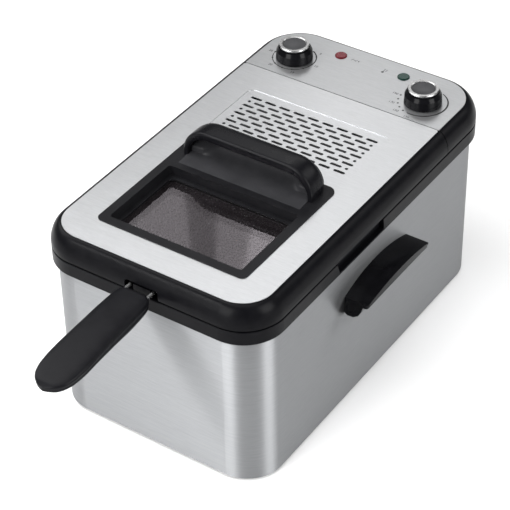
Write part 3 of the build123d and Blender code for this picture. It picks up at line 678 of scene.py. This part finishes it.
def words(verts, faces, text, x, y, size, z):
    """Printed numerals, centred on x, y."""
    cu = bpy.data.curves.new("numeral", "FONT")
    cu.body = text
    cu.size = size
    cu.align_x = "CENTER"
    cu.align_y = "CENTER"
    cu.extrude = PRINT_T / 2
    ob = bpy.data.objects.new("numeral", cu)
    me = bpy.data.meshes.new_from_object(ob)
    base = len(verts)
    for v in me.vertices:
        verts.append((x + v.co.x, y + v.co.y, z + PRINT_T / 2 + v.co.z))
    for p in me.polygons:
        faces.append(tuple(base + i for i in p.vertices))
    bpy.data.objects.remove(ob)
    bpy.data.curves.remove(cu)
    bpy.data.meshes.remove(me)


def dial_prints():
    """Scales round both knobs, and the small signs beside the lamps."""
    top = mm_box("control_plate")[1][2] + 0.005
    verts, faces = [], []
    for name in ("timer_knob", "thermostat_knob"):
        lo, hi = mm_box(name)
        cx, cy = (lo[0] + hi[0]) / 2, (lo[1] + hi[1]) / 2
        radius = DIAL_R[name]

        def spot(angle, r):
            a = math.radians(angle)
            return cx + r * math.cos(a), cy + r * math.sin(a)

        if name == "timer_knob":
            ribbon(verts, faces, cx, cy, radius, -182, 64, lambda t: 0.75 + 0.55 * t, top)
            for angle in (58, 34, -5, -34, -64, -92, -120, -148, -176):
                dot(verts, faces, *spot(angle, radius), 1.0, top)
            for angle, text in ((46, "5"), (-5, "10"), (-62, "15"), (-120, "20"), (-176, "30")):
                words(verts, faces, text, *spot(angle, radius + 5.0), 4.4, top)
        else:
            ribbon(verts, faces, cx, cy, radius, -100, 67,
                   lambda t: 0.8 + math.sin(math.pi * t) ** 0.6, top)
            for angle in (-112, -128, -144, -161, -178):
                dot(verts, faces, *spot(angle, radius), 1.05, top)
            for angle, text in ((-92, "130"), (-120, "150"), (-148, "170"), (-178, "190")):
                words(verts, faces, text, *spot(angle, radius + 6.0), 4.2, top)
    # small signs beside the lamps: a lightning stroke, and a thermometer
    rlo, rhi = mm_box("lens_red")
    rx, ry = rhi[0] + 10.0, (rlo[1] + rhi[1]) / 2
    for dx, length, angle in ((-3.0, 3.2, 62), (-0.6, 2.6, 0), (1.6, 3.2, 62)):
        bar(verts, faces, rx + dx, ry, length, 0.55, angle, top)
    dot(verts, faces, rx + 4.4, ry, 0.8, top)
    glo, ghi = mm_box("lens_green")
    gx, gy = glo[0] - 16.0, (glo[1] + ghi[1]) / 2 - 1.0
    bar(verts, faces, gx, gy + 1.2, 5.2, 0.6, 90, top)
    dot(verts, faces, gx, gy - 2.2, 1.35, top)
    for k in range(3):
        bar(verts, faces, gx + 2.4, gy + 0.2 + 1.5 * k, 1.7, 0.45, 0, top)
    new_piece("dial_prints", verts, faces, "dial_print", "control_unit", smooth=False)


# ------------------------------------------------------------------ studio
def softbox(name, at, aim, width, height, power):
    """A white rectangular light that faces the aim."""
    data = bpy.data.lights.new(name, "AREA")
    data.shape = "RECTANGLE"
    data.size = width
    data.size_y = height
    data.energy = power
    obj = bpy.data.objects.new(name, data)
    bpy.context.scene.collection.objects.link(obj)
    obj.location = at
    obj.rotation_euler = (Vector(at) - Vector(aim)).to_track_quat("Z", "Y").to_euler()


def studio():
    """Plain pale floor, dim sky and soft lights."""
    world = bpy.data.worlds.new("studio")
    bpy.context.scene.world = world
    world.use_nodes = True
    bg = world.node_tree.nodes["Background"]
    bg.inputs["Color"].default_value = (1.0, 1.0, 1.0, 1.0)
    bg.inputs["Strength"].default_value = 0.12
    mat = bpy.data.materials.new("paper")
    mat.use_nodes = True
    shade = mat.node_tree.nodes["Principled BSDF"]
    shade.inputs["Base Color"].default_value = (0.80, 0.80, 0.80, 1.0)
    shade.inputs["Roughness"].default_value = 0.9
    shade.inputs["Emission Color"].default_value = (1.0, 1.0, 1.0, 1.0)
    shade.inputs["Emission Strength"].default_value = 0.1
    me = bpy.data.meshes.new("floor")
    half = 9.0
    me.from_pydata([(-half, -half, 0), (half, -half, 0), (half, half, 0), (-half, half, 0)], [], [(0, 1, 2, 3)])
    floor = bpy.data.objects.new("floor", me)
    me.materials.append(mat)
    bpy.context.scene.collection.objects.link(floor)
    aim = Vector((0.0, 0.0, 0.15))

    def box_at(name, azimuth, elevation, distance, width, height, power):
        """A softbox seen from the object at that compass angle (0 is +X, 90 is +Y) and elevation."""
        a, e = math.radians(azimuth), math.radians(elevation)
        d = Vector((math.cos(a) * math.cos(e), math.sin(a) * math.cos(e), math.sin(e)))
        softbox(name, aim + distance * d, aim, width, height, power)

    box_at("overhead", -60, 84, 2.6, 2.2, 2.2, 37.4)
    box_at("behind", 106, 38.7, 1.83, 0.90, 0.68, 3.15)
    box_at("left", 189, 50.4, 0.91, 0.59, 0.96, 7.6)
    box_at("front", -99, 22, 2.3, 1.2, 1.5, 50)
    box_at("right", 0, 24, 2.3, 1.1, 1.5, 43)
    box_at("front_left", 234, 38, 2.3, 0.55, 0.30, 13)
    box_at("side", 52, 30, 2.4, 0.8, 1.0, 7)
    # three dim panels where the window glass mirrors them, brighter at its two sides
    box_at("glass_wide", 128.0, 40.6, 2.3, 0.70, 0.40, 0.82)
    box_at("glass_left", 132.6, 40.4, 2.3, 0.26, 0.40, 0.34)
    box_at("glass_right", 122.4, 42.2, 2.3, 0.26, 0.34, 0.28)


scene = bpy.context.scene
scene.view_settings.view_transform = "Standard"
place_camera()
studio()
dress_cad_nodes()
woven_basket()
grip_shape()
lid_handle()
dial_prints()
